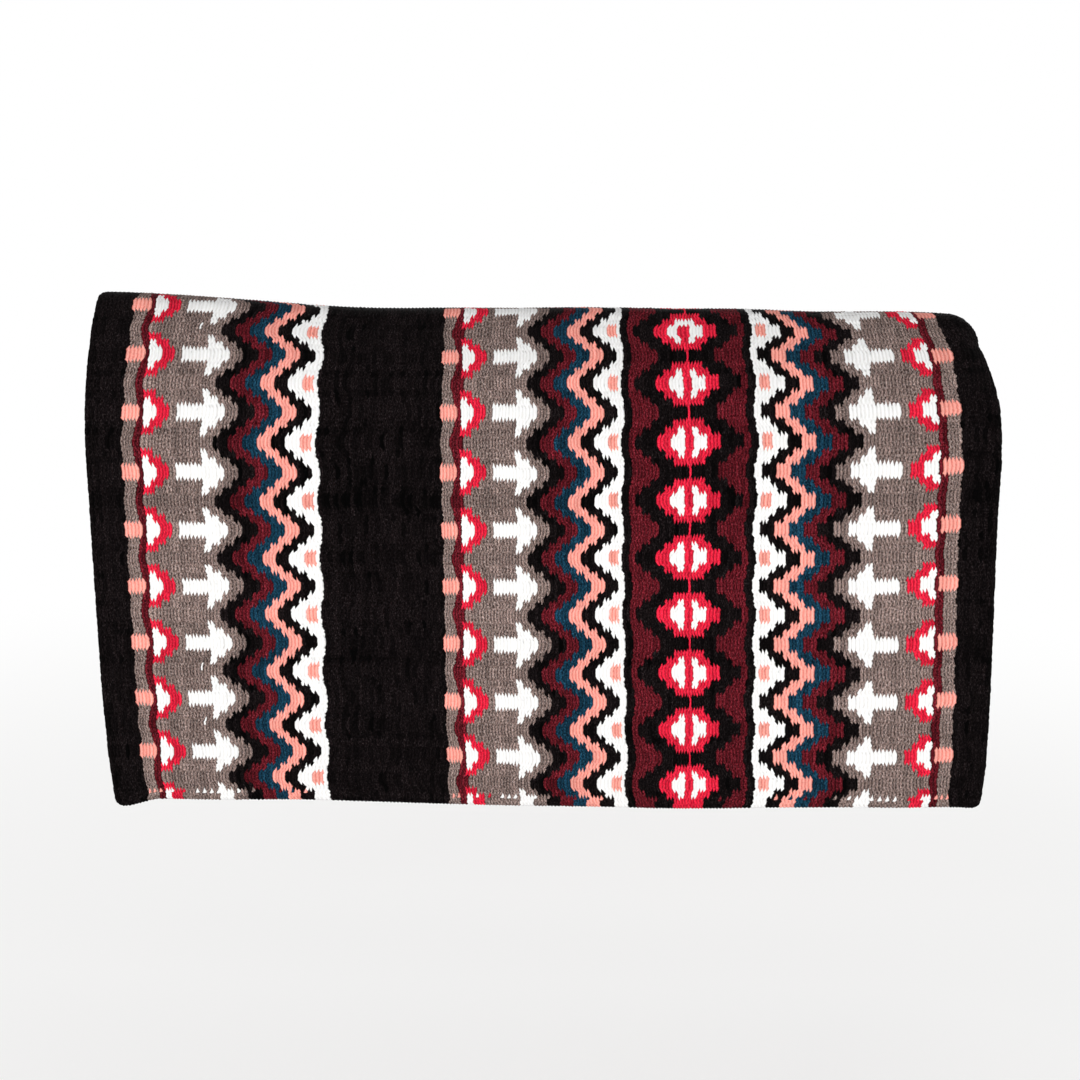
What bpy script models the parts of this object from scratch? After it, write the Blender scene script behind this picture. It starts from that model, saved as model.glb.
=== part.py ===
# Western wool saddle blanket, folded over a rail and hanging down on both sides.
# Metres, +Z up. +X runs along the ridge of the fold, and the near flap hangs on the -Y side.
# The origin is on the flat underside of the ridge, half way along it, where the rail carries it.

import math

import bmesh
import bpy
from mathutils import Vector

# Widths of the woven bands, from the left end of the ridge to the right end
LEFT_BORDER_WIDTH = 0.0343
LEFT_MOTIF_WIDTH = 0.0901
LEFT_ZIGZAG_WIDTH = 0.1016
BLACK_FIELD_WIDTH = 0.1134
MIDDLE_MOTIF_WIDTH = 0.0813
MIDDLE_ZIGZAG_WIDTH = 0.0925
DIAMOND_BAND_WIDTH = 0.1228
RIGHT_ZIGZAG_WIDTH = 0.0992
RIGHT_MOTIF_WIDTH = 0.0947
RIGHT_BORDER_WIDTH = 0.0341

# The cloth
CLOTH_LENGTH = 1.016         # hem to hem, over the ridge, in the middle
HEM_RUNOUT = 0.011           # how much longer each flap is at the right end than at the left
CLOTH_THICKNESS = 0.008
PIECE_GAP = 0.0003           # between neighbouring pieces
SELVEDGE_DEPTH = 0.013       # the thick woven edge along each hem
SELVEDGE_THICKNESS = 0.0096
SELVEDGE_ROUND = 0.0026      # how far its lower corners are rounded off

# The drape, along the middle of the cloth's thickness, from the ridge down
SEAT_WIDTH = 0.012           # flat strip that lies on the rail
RIDGE_RADIUS = 0.021
RIDGE_SLOPE = math.radians(48.5)
SLOPE_RUN = 0.0225           # straight stretch under the ridge bend
SHOULDER_RADIUS = 0.203
HANG_SLOPE = math.radians(89.0)
LAID_ASKEW = math.radians(2.05)   # the cloth lies a little turned on the rail
LAID_OFF_CENTRE = 0.005      # the fold is this far off the middle, so the near flap is longer

# The right end of the ridge droops past the end of the rail
DROOP_LENGTH = 0.034
DROOP_RADIUS = 0.026         # at the ridge
DROOP_HOLD = 0.034           # how far down the cloth the droop is full
DROOP_REACH = 0.105          # how far below that it fades out
DROOP_LEAN = 0.064           # how far down it turns from straight down to straight inwards

RIDGE_STEPS = 4
SHOULDER_STEPS = 6
HANG_STEPS = 3
DROOP_STEPS = 5
LEAST_STEP_SHARE = 0.25      # a stop nearer than this to a band's edge is left out

BLACK_WOOL = (0.013, 0.013, 0.016)
GREY_WOOL = (0.185, 0.150, 0.138)
ZIGZAG_WOOL = (0.006, 0.046, 0.095)
DIAMOND_WOOL = (0.130, 0.012, 0.022)
WOOL_ROUGHNESS = 0.9

# Name of each woven band, its width and the wool that it mostly shows
BANDS = (
    ("left_border", LEFT_BORDER_WIDTH, BLACK_WOOL),
    ("left_motif", LEFT_MOTIF_WIDTH, GREY_WOOL),
    ("left_zigzag", LEFT_ZIGZAG_WIDTH, ZIGZAG_WOOL),
    ("black_field", BLACK_FIELD_WIDTH, BLACK_WOOL),
    ("middle_motif", MIDDLE_MOTIF_WIDTH, GREY_WOOL),
    ("middle_zigzag", MIDDLE_ZIGZAG_WIDTH, ZIGZAG_WOOL),
    ("diamond_band", DIAMOND_BAND_WIDTH, DIAMOND_WOOL),
    ("right_zigzag", RIGHT_ZIGZAG_WIDTH, ZIGZAG_WOOL),
    ("right_motif", RIGHT_MOTIF_WIDTH, GREY_WOOL),
    ("right_border", RIGHT_BORDER_WIDTH, BLACK_WOOL),
)
CLOTH_WIDTH = sum(width for _, width, _ in BANDS)
HALF_WIDTH = CLOTH_WIDTH / 2
HALF_LENGTH = CLOTH_LENGTH / 2
HALF_THICKNESS = CLOTH_THICKNESS / 2
HALF_GAP = PIECE_GAP / 2

PROBE_SHARE = 0.01           # of the thickness: the step that the cloth's slope is read over
PROBE = CLOTH_THICKNESS * PROBE_SHARE

# A place down the cloth is a distance from the ridge, positive on the near flap, which hangs
# at -Y, and negative on the off flap
NEAR = 1
OFF = -1

# Runs of the drape from the ridge centre down: length, and the turn made over it
SHOULDER_TURN = HANG_SLOPE - RIDGE_SLOPE
DRAPE_RUNS = (
    (SEAT_WIDTH / 2, 0),
    (RIDGE_RADIUS * RIDGE_SLOPE, RIDGE_SLOPE),
    (SLOPE_RUN, 0),
    (SHOULDER_RADIUS * SHOULDER_TURN, SHOULDER_TURN),
)
SPINE_EDGE = DRAPE_RUNS[0][0] + DRAPE_RUNS[1][0]    # where the ridge bend ends
SHOULDER_START = SPINE_EDGE + SLOPE_RUN
SHOULDER_END = SHOULDER_START + DRAPE_RUNS[3][0]


def drape_point(distance):
    """Place and slope of the drape at a distance down the cloth, on the near side."""
    out, down, slope, left = 0, 0, 0, distance
    for length, turn in DRAPE_RUNS:
        step = min(left, length)
        if turn:
            radius = length / turn
            bend = step / radius
            out += radius * (math.sin(slope + bend) - math.sin(slope))
            down += radius * (math.cos(slope) - math.cos(slope + bend))
            slope += bend
        else:
            out += step * math.cos(slope)
            down += step * math.sin(slope)
        left -= step
    out += left * math.cos(slope)
    down += left * math.sin(slope)
    return out, down, slope


def eased(share):
    """Rises smoothly from 0 to 1 as the share does."""
    return (1 - math.cos(math.pi * max(0, min(share, 1)))) / 2


def middle_place(across, drop):
    """Place on the middle of the cloth's thickness, across the ridge's middle and down."""
    side, distance = math.copysign(1, drop), abs(drop)
    out, down, _ = drape_point(distance)
    along = across / math.cos(LAID_ASKEW) + drop * math.tan(LAID_ASKEW)

    # The droop bends the last stretch of the right end round, towards the underside
    past = (across - (HALF_WIDTH - DROOP_LENGTH)) / math.cos(LAID_ASKEW)
    fade = eased((distance - DROOP_HOLD) / DROOP_REACH)
    turn = (1 - fade) * max(past, 0) / DROOP_RADIUS
    if turn > 0:
        radius = past / turn
        along += radius * math.sin(turn) - past
        sink = radius * (1 - math.cos(turn))
        lean = HANG_SLOPE * eased(distance / DROOP_LEAN)
        out -= sink * math.sin(lean)
        down += sink * math.cos(lean)
    return Vector((along, -side * out, HALF_THICKNESS - down))


def cloth_place(across, drop, height):
    """Place at a height out of the middle of the cloth's thickness, square to the cloth."""
    along = middle_place(across + PROBE, drop) - middle_place(across - PROBE, drop)
    downward = middle_place(across, drop + PROBE) - middle_place(across, drop - PROBE)
    return middle_place(across, drop) + height * downward.cross(along).normalized()


def hem_distance(across, side, short_by):
    """Distance from the ridge to a line short of the hem, where it crosses one pick of weft."""
    square = HALF_LENGTH + side * LAID_OFF_CENTRE - short_by
    runout = HEM_RUNOUT * across / CLOTH_WIDTH
    return square * math.cos(LAID_ASKEW) + runout - side * across * math.sin(LAID_ASKEW)


def wool(name, color):
    material = bpy.data.materials.new(name)
    material.use_nodes = True
    shader = material.node_tree.nodes["Principled BSDF"]
    shader.inputs["Base Color"].default_value = (*color, 1)
    shader.inputs["Roughness"].default_value = WOOL_ROUGHNESS
    shader.inputs["Metallic"].default_value = 0
    material.diffuse_color = (*color, 1)
    return material


def split(mesh, a, b, c, d):
    """Two triangles with their shared edge from a to c."""
    mesh.faces.new((a, b, c))
    mesh.faces.new((a, c, d))


def cloth_solid(name, acrosses, section, color):
    """One closed piece of cloth, from its face to its underside.

    section gives, for one cut across the ridge, the drops down the cloth and half the
    thickness at each. The walls of neighbouring pieces are split into triangles alike, so the
    gap between them stays even where the cloth bends both ways.
    """
    mesh = bmesh.new()
    face, under = [], []
    for across in acrosses:
        cut = section(across)
        face.append([mesh.verts.new(cloth_place(across, drop, half)) for drop, half in cut])
        under.append([mesh.verts.new(cloth_place(across, drop, -half)) for drop, half in cut])

    lasts = (0, len(face[0]) - 1)
    for k in range(len(face) - 1):
        for i in range(lasts[1]):
            for skin in (face, under):
                split(mesh, skin[k][i], skin[k][i + 1], skin[k + 1][i + 1], skin[k + 1][i])
        for i in lasts:
            split(mesh, face[k][i], face[k + 1][i], under[k + 1][i], under[k][i])
    for k in (0, -1):
        for i in range(lasts[1]):
            split(mesh, face[k][i], face[k][i + 1], under[k][i + 1], under[k][i])
    bmesh.ops.recalc_face_normals(mesh, faces=mesh.faces[:])

    data = bpy.data.meshes.new(name)
    mesh.to_mesh(data)
    mesh.free()
    data.materials.append(wool(name + "_wool", color))
    piece = bpy.data.objects.new(name, data)
    bpy.context.scene.collection.objects.link(piece)
    return piece


def move_origin(piece, place):
    """Puts a piece's origin on its hinge line, with the mesh left where it is."""
    for vertex in piece.data.vertices:
        for axis in range(len(place)):
            vertex.co[axis] -= place[axis]
    piece.location = place


def steps(start, end, count):
    return [start + (end - start) * i / count for i in range(1, count + 1)]


def across_stops(start, end):
    """Stops along the ridge for one band, closer together where the right end droops."""
    droop_start = HALF_WIDTH - DROOP_LENGTH
    step = DROOP_LENGTH / DROOP_STEPS
    room = step * LEAST_STEP_SHARE
    bends = [droop_start + step * i for i in range(DROOP_STEPS + 1)]
    inner = [stop for stop in bends if start + room < stop < end - room]
    return [start, *inner, end]


def spine_piece(name, start, end, color):
    bend_start = SEAT_WIDTH / 2
    near_side = [bend_start, *steps(bend_start, SPINE_EDGE - HALF_GAP, RIDGE_STEPS)]
    drops = [*reversed(near_side), *(-stop for stop in near_side)]
    cut = [(drop, HALF_THICKNESS) for drop in drops]
    return cloth_solid(name + "_spine", across_stops(start, end), lambda across: cut, color)


def flap_piece(name, side_name, side, start, end, color):
    def section(across):
        hem = hem_distance(across, side, SELVEDGE_DEPTH) - HALF_GAP
        stops = [SPINE_EDGE + HALF_GAP, SHOULDER_START]
        stops += steps(SHOULDER_START, SHOULDER_END, SHOULDER_STEPS)
        stops += steps(SHOULDER_END, hem, HANG_STEPS)
        return [(side * stop, HALF_THICKNESS) for stop in stops]

    return cloth_solid(name + "_" + side_name, across_stops(start, end), section, color)


def selvedge_piece(side_name, side):
    """The thick edge along one hem, from end to end of the cloth."""
    def section(across):
        top = hem_distance(across, side, SELVEDGE_DEPTH) + HALF_GAP
        hem = hem_distance(across, side, 0)
        half = SELVEDGE_THICKNESS / 2
        cut = (
            (top, HALF_THICKNESS), (top + SELVEDGE_ROUND, half),
            (hem - SELVEDGE_ROUND, half), (hem, half - SELVEDGE_ROUND),
        )
        return [(side * stop, height) for stop, height in cut]

    return cloth_solid("selvedge_" + side_name, band_edges(), section, BLACK_WOOL)


def band_edges():
    edges = [-HALF_WIDTH]
    for _, width, _ in BANDS:
        edges.append(edges[-1] + width)
    return edges


def hinge_place(side):
    """The flap folds about a line on the cloth's face, along the edge of the spine."""
    out, down, slope = drape_point(SPINE_EDGE)
    y = -side * (out + HALF_THICKNESS * math.sin(slope))
    z = HALF_THICKNESS - down + HALF_THICKNESS * math.cos(slope)
    return 0, y, z


def build_blanket():
    for leftover in list(bpy.data.objects):
        bpy.data.objects.remove(leftover)

    flaps = {"near": NEAR, "off": OFF}
    hinges = {}
    for side_name, side in flaps.items():
        hinges[side_name] = bpy.data.objects.new(side_name + "_flap_fold", None)
        hinges[side_name].location = hinge_place(side)
        bpy.context.scene.collection.objects.link(hinges[side_name])

    edges = band_edges()
    for number, (name, _, color) in enumerate(BANDS):
        start = edges[number] + (HALF_GAP if number else 0)
        end = edges[number + 1] - (HALF_GAP if number + 1 < len(BANDS) else 0)
        spine_piece(name, start, end, color)
        for side_name, side in flaps.items():
            piece = flap_piece(name, side_name, side, start, end, color)
            hang_on(piece, hinges[side_name])
    for side_name, side in flaps.items():
        hang_on(selvedge_piece(side_name, side), hinges[side_name])


def hang_on(piece, hinge):
    move_origin(piece, tuple(hinge.location))
    piece.location = (0, 0, 0)
    piece.parent = hinge


build_blanket()
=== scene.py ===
# Looks of a western wool saddle blanket, folded over and hanging down on both sides.
# Metres, +Z up. +X runs along the ridge of the fold, and the near flap hangs on the -Y side.
import math

import bpy
import numpy as np
from mathutils import Matrix, Vector


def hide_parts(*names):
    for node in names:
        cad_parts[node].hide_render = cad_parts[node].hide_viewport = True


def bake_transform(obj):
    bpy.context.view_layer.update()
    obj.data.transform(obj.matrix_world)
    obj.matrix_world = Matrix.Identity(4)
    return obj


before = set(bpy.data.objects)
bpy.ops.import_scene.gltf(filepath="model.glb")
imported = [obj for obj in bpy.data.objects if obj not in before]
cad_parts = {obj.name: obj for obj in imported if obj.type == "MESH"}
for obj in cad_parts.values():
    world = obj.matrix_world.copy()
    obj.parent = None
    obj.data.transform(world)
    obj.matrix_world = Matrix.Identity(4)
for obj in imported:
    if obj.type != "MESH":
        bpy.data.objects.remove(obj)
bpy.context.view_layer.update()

mm = 0.001
draws = np.random.default_rng(34)

# The cloth as it was cut and laid. These are the sizes of the CAD part.
cloth = {
    "length": 1.016,             # hem to hem over the ridge
    "thickness": 0.008,
    "laidAskew": math.radians(2.05),
    "laidOffCentre": 0.005,      # the near flap is longer by this
    "cornerRadius": 0.009,
    "flapWander": 0.0012,        # slow swells of a heavy cloth that hangs free
    "wanderLength": 0.24,
    "wanderFrom": 0.05,          # the swells start this far below the ridge
    "wanderRise": 0.15,
}

drape = {
    "seatWidth": 0.012,
    "ridgeRadius": 0.021,
    "ridgeSlope": math.radians(48.5),
    "slopeRun": 0.0225,
    "shoulderRadius": 0.203,
    "hangSlope": math.radians(89.0),
    "droopLength": 0.034,        # the right end hangs down by itself
    "droopRadius": 0.026,
    "droopHold": 0.034,          # how far down the cloth the droop is full
    "droopReach": 0.105,         # how far below that it fades out
    "droopLean": 0.064,          # how far down it turns from straight down to straight inwards
}

# How the weaving and the hanging pull the cloth off its even lie
lie = {
    # dips of the ridge: middle and reach across the cloth and depth, in mm
    "dips": ((-165, 110, 6.2), (-20, 60, 1.8), (-420, 95, -3.2), (200, 50, -1.5), (360, 70, -2.5)),
    "dipHold": 0.030,            # the ridge's dips are whole down to here,
    "dipFade": 0.110,            # and fade out over this
    "narrowing": 0.0092,         # near the ridge the pattern is this share narrower
    "narrowMiddle": 0.440,       # about this place
    "narrowHold": 0.070,
    "narrowFade": 0.100,
    "narrowEdge": 0.045,         # the edges hold their place over this width
    # over the drooping end: place, reach across, reach down and size, in mm
    "droopPull": (850, 120, 50, -13.5),
    "droopPullEdge": 0.026,      # the right edge holds its place,
    "acrossEdge": 0.020,         # and both edges do where the bands are pulled
    "edgePullReach": 0.055,      # how far in from an edge its own pulls reach
    "offFade": 0.150,            # the pulls fade out down the off flap
    "cornerDrop": 0.0075,        # the near hem's left corner hangs lower
    "cornerStart": 0.440,        # from this row on,
    "cornerRun": 0.070,
    "cornerEdge": 0.008,         # whole up to this place
    "cornerReach": 0.040,
}

# Pulls of the near flap off the true grid, in mm. Each has its place and its reach across, and its
# size at these rows below the ridge.
pullRows = (10, 60, 145, 230, 315, 400, 470, 512)
pullsAcross = (
    ("left border", 45, 25, (-0.6, -0.5, -0.2, -0.3, -0.9, -1.2, -0.1, 3.2)),
    ("left crosses", 120, 35, (0.9, 0.4, -0.2, 0.1, -1.2, -1.6, -1.0, 0.2)),
    ("left zigzag's edge", 155, 20, (-0.5, -1.4, -1.1, -0.2, -0.3, -0.5, 0.3, 0.6)),
    ("last white line", 208, 38, (-3.6, -4.0, -4.3, -3.6, -5.0, -6.3, -5.8, -6.2)),
    ("black field's right", 356, 28, (0.0, 0.2, 0.0, -0.2, -0.8, -1.4, -1.0, -0.8)),
    ("middle crosses", 405, 38, (3.2, 2.9, 2.4, 1.8, 0.8, 0.2, 0.9, 1.2)),
    ("diamond's left", 535, 40, (-0.8, -0.8, -1.4, -2.4, -1.5, 1.0, 1.6, 1.6)),
    ("diamond's right", 640, 32, (0.6, 1.4, 1.6, 0.1, 0.3, 0.5, 1.4, 1.6)),
    ("right crosses", 745, 90, (0.2, 0.8, 0.0, -1.5, 0.6, 2.6, 3.0, 3.0)),
)
pullsDown = (
    ("left crosses", 62, 70, (-1.2, -1.0, -0.4, 0.9, 0.9, 2.8, 1.5, -0.8)),
    ("left zigzag", 190, 70, (-4.0, -3.4, 1.7, 1.2, 0.8, 2.2, -0.2, -2.2)),
    ("middle crosses", 420, 100, (0.0, 0.0, 3.4, 2.2, 1.8, 4.4, 3.8, 1.4)),
    ("diamonds", 560, 75, (3.2, 3.2, 2.4, 0.2, -1.0, 1.6, 3.4, 2.8)),
    ("right zigzag", 735, 72, (12.0, 7.0, 5.0, 2.0, 0.6, 2.9, 2.0, 0.0)),
    ("right half diamonds", 745, 38, (0.0, -1.4, -2.2, -1.6, -0.5, -0.3, -0.5, -0.8)),
    ("right crosses", 832, 48, (11.0, 4.6, -1.8, -4.6, -3.6, -2.2, -2.8, -2.4)),
)
edgePulls = (                    # rows and sizes for the left edge, then for the right one
    ((400, 470, 512), (0.0, 2.3, 6.0)),
    ((10, 30, 45, 70, 145, 230, 400, 470, 512), (0.4, 1.6, 4.0, 3.6, 2.2, 0.2, 0.4, -0.8, -5.0)),
)

# The weave is weft faced: plump floats of yarn cross the cords of the warp, which show as ribs.
# Ribs that show other yarns stand half a float aside. At the middle of a figure two ribs share theirs.
weave = {
    "ribPitch": 6.99 * mm,
    "ribsPerFigure": 8,
    "firstCross": 67.9 * mm,     # from the ridge to the middle of a row of crosses
    "nearRibs": 64,              # ribs from there to the near hem
    "offRibs": -82,
    "hangsOut": 0.0217,          # how much further apart the rows are at the right end than at the left
    "valley": 3.45 * mm,         # half the cloth's thickness between the floats
    "plump": 1.08 * mm,          # how far a float stands out of the valley
    "tipReach": 0.25,            # how far a float's pointed end runs into the next rib, in lattice ribs
    "tipStretch": 0.06,          # and how much further the yarns' pull draws it
    "leans": (0, 0.5, 1.0, 0.5),     # how far the crowding yarns close up the half float aside
    "beatenRibs": 5,             # the last ribs before each hem are beaten closer
    "chainYarn": 0.2,            # half the width of the single yarn between diamonds, in floats
}

# How unlike its neighbours each float is: standard deviations and, where a pair, also the most
unlike = {
    "plump": (0.12, 0.35),
    "tone": 0.8,                 # its own tone,
    "yarnTone": 0.45,            # that of all the floats in line down the cloth,
    "ribTone": 0.40,             # and that of its rib
    "toneMost": 2.2,
    "tipSlip": (0.11, 0.17),     # of its ends up or down, in ribs
    "sideSlip": (0.06, 0.12),    # of its sides, in floats
    "bandSwell": (0.0004, 0.05),     # slow waves of the columns and of the rows: size and length
    "rowSwell": (0.0006, 0.07),
}

# Each woven band: its name, the material slot, its width in mm and how many floats fill it
bands = (
    ("left_border", "black_wool", 34.3, 10),
    ("left_motif", "grey_wool", 90.1, 27),
    ("left_zigzag", "zigzag_wool", 101.6, 28),
    ("black_field", "black_wool", 113.4, 32),
    ("middle_motif", "grey_wool", 81.3, 27),
    ("middle_zigzag", "zigzag_wool", 92.5, 28),
    ("diamond_band", "diamond_wool", 122.8, 38),
    ("right_zigzag", "zigzag_wool", 99.2, 28),
    ("right_motif", "grey_wool", 94.7, 27),
    ("right_border", "black_wool", 34.1, 10),
)
bandFloats = np.cumsum([0] + [count for _, _, _, count in bands])
bandEdges = np.cumsum([0.0] + [width * mm for _, _, width, _ in bands])
clothWidth = bandEdges[-1]
halfWidth = clothWidth / 2
halfThickness = cloth["thickness"] / 2
floatCount = int(bandFloats[-1])
rings = weave["ribsPerFigure"] // 2      # of a figure: each is one rib on both sides of its middle


# The drape
shoulderTurn = drape["hangSlope"] - drape["ridgeSlope"]
drapeRuns = (
    (drape["seatWidth"] / 2, 0),
    (drape["ridgeRadius"] * drape["ridgeSlope"], drape["ridgeSlope"]),
    (drape["slopeRun"], 0),
    (drape["shoulderRadius"] * shoulderTurn, shoulderTurn),
)
askewCos, askewSin = math.cos(cloth["laidAskew"]), math.sin(cloth["laidAskew"])


def drapePoint(distance):
    # how far out and down the cloth has come at a distance from the ridge
    out, down, slope = np.zeros_like(distance), np.zeros_like(distance), np.zeros_like(distance)
    left = distance.copy()
    for length, turn in drapeRuns:
        step = np.minimum(left, length)
        if turn:
            radius = length / turn
            bend = step / radius
            out += radius * (np.sin(slope + bend) - np.sin(slope))
            down += radius * (np.cos(slope) - np.cos(slope + bend))
            slope += bend
        else:
            out += step * np.cos(slope)
            down += step * np.sin(slope)
        left -= step
    return out + left * np.cos(slope), down + left * np.sin(slope)


def eased(share):
    return (1 - np.cos(np.pi * np.clip(share, 0, 1))) / 2


def middlePlace(across, drop):
    # place on the middle of the thickness: across from the ridge's middle, drop down the near flap
    distance = np.abs(drop)
    out, down = drapePoint(distance)
    along = across / askewCos + drop * askewSin / askewCos
    past = np.maximum(across - (halfWidth - drape["droopLength"]), 0) / askewCos
    fade = eased((distance - drape["droopHold"]) / drape["droopReach"])
    turn = (1 - fade) * past / drape["droopRadius"]
    bent = turn > 1e-9
    radius = np.where(bent, past / np.where(bent, turn, 1), 0)
    along += np.where(bent, radius * np.sin(turn) - past, 0)
    sink = radius * (1 - np.cos(turn))
    lean = drape["hangSlope"] * eased(distance / drape["droopLean"])
    out -= sink * np.sin(lean)
    down += sink * np.cos(lean)
    dip = sum(depth * mm * np.exp(-((across - middle * mm) / (reach * mm)) ** 2)
              for middle, reach, depth in lie["dips"])
    down += dip * (1 - eased((distance - lie["dipHold"]) / lie["dipFade"]))
    return np.stack([along, -np.sign(drop) * out, halfThickness - down], -1)


def clothPlace(across, drop, height):
    # place at a height out of the middle of the thickness, square to the cloth
    probe = 0.4 * mm
    along = middlePlace(across + probe, drop) - middlePlace(across - probe, drop)
    downward = middlePlace(across, drop + probe) - middlePlace(across, drop - probe)
    normal = np.cross(downward, along)
    normal /= np.linalg.norm(normal, axis=-1, keepdims=True)
    return middlePlace(across, drop) + height[..., None] * normal


def swell(u, s, size, seed, count=7):
    # slow, seamless unevenness, about 1 at its highest
    waves = np.random.default_rng(seed)
    total = np.zeros(np.broadcast(u, s).shape)
    for _ in range(count):
        heading = waves.uniform(0, 2 * math.pi)
        length = size * waves.uniform(0.7, 1.6)
        turn = 2 * math.pi / length
        phase = waves.uniform(0, 2 * math.pi)
        total += np.cos(turn * (u * math.cos(heading) + s * math.sin(heading)) + phase)
    return total / math.sqrt(count)


# The pattern
black, grey, maroon, teal, coral, red, white = range(7)
diamondHalf = 19                     # floats from the edge of the diamond band to its middle


def motifDye(i, ring):
    # grey ground with a half diamond, a stem and a cross. ring counts ribs out from the row's middle.
    if i < 6:
        if ring == 0:
            return coral if i < 5 else maroon
        return grey if i < 4 else maroon
    if i < 14:
        redRing, whiteRing = ((3, 2), (3, 1), (2, 0), (1, 0))[(i - 6) // 2]
        return white if ring < whiteRing else red if ring < redRing else grey
    if i < 16:
        return grey
    whiteRing = 1 if i < 23 else 3 if i < 25 else 2
    return white if ring < whiteRing else grey


def zigzagDye(i, ring):
    # the stripes step aside by two floats at each rib, out and back
    shift = 2 * (3 - ring)
    if i < shift:
        return white if i < 2 and ring == 0 else grey
    stripe = (i - shift) // 4
    if stripe < 5:
        return (black, maroon, teal, coral, black)[stripe]
    return coral if 24 <= i < 27 and ring == 3 else white


def diamondDye(i, ring):
    # stepped diamonds on a black chain, strung on a single red yarn
    away, diamondRing = abs(i + 0.5 - diamondHalf), 3 - ring
    if away > 17:
        return black
    if away > 9 + 2 * ring:
        return maroon
    if away < 1:
        return red if diamondRing < 3 or i == diamondHalf else black
    if away < 9:
        redRing, whiteRing = ((3, 2), (3, 1), (2, 0), (1, 0))[int(away - 1) // 2]
        return white if diamondRing < whiteRing else red if diamondRing < redRing else black
    return black


def bandDye(name, i, count, ring):
    if name.startswith("right"):
        i = count - 1 - i
    if name == "middle_motif" and ring == 3 and 3 <= i < 7:
        return maroon      # the line swells between its half diamonds
    if "motif" in name:
        return motifDye(i, ring)
    if "zigzag" in name:
        return zigzagDye(i, ring)
    if "diamond" in name:
        return diamondDye(i, ring)
    return black


dyePlan = np.array([
    [bandDye(name, i, count, ring) for ring in range(rings)]
    for name, _, _, count in bands for i in range(count)
])


# The lattice
# p counts floats from the left edge and k counts ribs from the first row of crosses, downward on
# the near flap. Quarter steps of both give the cloth's face, half and quarter steps its underside.
wrapRadius = weave["valley"]
wrapArc = wrapRadius * math.pi / 2
wrapSpare = wrapArc - wrapRadius      # the rounded edges take this much more cloth
quarters = 4                          # steps to a rib or a float
nudge = 1e-6                          # so that no whole number rounds down
sharedSteps = quarters * rings        # from one pair of ribs that share floats to the next
firstRow, lastRow = quarters * weave["offRibs"], quarters * weave["nearRibs"]
columnCount = quarters * floatCount
ribs = np.arange(weave["offRibs"], weave["nearRibs"])
rowPlaces = np.arange(firstRow, lastRow + 1) / quarters
columnPlaces = np.arange(columnCount + 1) / quarters


def ribRing(rib):
    # 0 at the two ribs beside a row of crosses, 3 at those beside a row of diamonds
    step = rib % weave["ribsPerFigure"]
    return np.minimum(step, weave["ribsPerFigure"] - 1 - step)


def ribKind(rib):
    # 1 for the ribs whose floats stand half a float aside
    return ribRing(rib) % 2


# the dye of each float: a row for each rib. The thinnest figures stop short of the hems.
ringOfRib = ribRing(ribs)
ringOfRib[0] = ringOfRib[-1] = 1
dyeOf = dyePlan[:, ringOfRib].T.copy()

# in the topmost diamond of the near flap the red yarns make a round middle with white over it
diamondMiddle = int(bandFloats[6]) + diamondHalf
roundMiddle = (white, red, red, red, white, white)
for rib, middleDyes in ((-6, (white,) * 6), (-5, roundMiddle), (-4, roundMiddle)):
    dyeOf[rib - weave["offRibs"], diamondMiddle - 3:diamondMiddle + 3] = middleDyes

# thin slips of a yarn: the float's index, the rib, the dye and the share of the float that shows
slips = [(int(bandFloats[1]) + 20, rib, white, 0.3) for rib in (-5, 43, 51)]

# Yarns that only the widest rows need end at a row's height before each hem. There they are darned
# back into the cloth, and each second one shows as a short stitch.
yarnEnds = []
for endRib in (weave["nearRibs"] - 2, weave["offRibs"] + 1):
    for index in range(floatCount):
        widest, plain = dyePlan[index, 0], dyePlan[index, 1]
        if widest != plain and index % 2 == 0 and widest != black:
            yarnEnds.append((index, endRib, widest))

floatGrid = (len(ribs), floatCount + 1)
plumpSpread, plumpMost = unlike["plump"]
plumpness = draws.normal(1, plumpSpread, floatGrid).clip(1 - plumpMost, 1 + plumpMost)
tone = draws.normal(0, unlike["tone"], floatGrid)
tone = tone + draws.normal(0, unlike["yarnTone"], floatCount + 1)
tone = tone + draws.normal(0, unlike["ribTone"], (len(ribs), 1))
tone = tone.clip(-unlike["toneMost"], unlike["toneMost"])
sharedRibs = np.flatnonzero(ribs % rings == 0)      # these show the same floats as the rib before
plumpness[sharedRibs] = plumpness[sharedRibs - 1]
tone[sharedRibs] = tone[sharedRibs - 1]
latticeGrid = (len(rowPlaces), len(columnPlaces))
tipSlip, sideSlip = (
    draws.normal(0, spread, latticeGrid).clip(-most, most)
    for spread, most in (unlike["tipSlip"], unlike["sideSlip"]))


def floatIndex(p, rib):
    return np.clip(np.floor(p - 0.5 * ribKind(rib)), 0, floatCount).astype(int)


def owner(p, k):
    # which float holds the point: its rib and its index. Pointed ends run into the next rib.
    boundary = np.round(k).astype(int)
    height = k - boundary
    centre = np.where(ribKind(boundary) == 0, 0.5, 0.0)
    offset = np.abs((p - centre + 0.5) % 1 - 0.5)
    offset = np.where(boundary % rings == 0, weave["tipReach"], offset)
    upper = height > -weave["tipReach"] + offset
    rib = np.where(upper, boundary, boundary - 1)
    rib = np.where(np.abs(height) >= weave["tipReach"], np.floor(k).astype(int), rib)
    rib = np.clip(rib, ribs[0], ribs[-1])
    return rib, floatIndex(p, rib)


# how far each point of the lattice stands out, by its row's quarter and its steps from a crest
crestTable = np.array([
    [0.72, 0.46, 0.72],
    [0.93, 0.56, 0.12],
    [1.0, 0.62, 0.0],
    [0.93, 0.56, 0.12],
])


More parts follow.
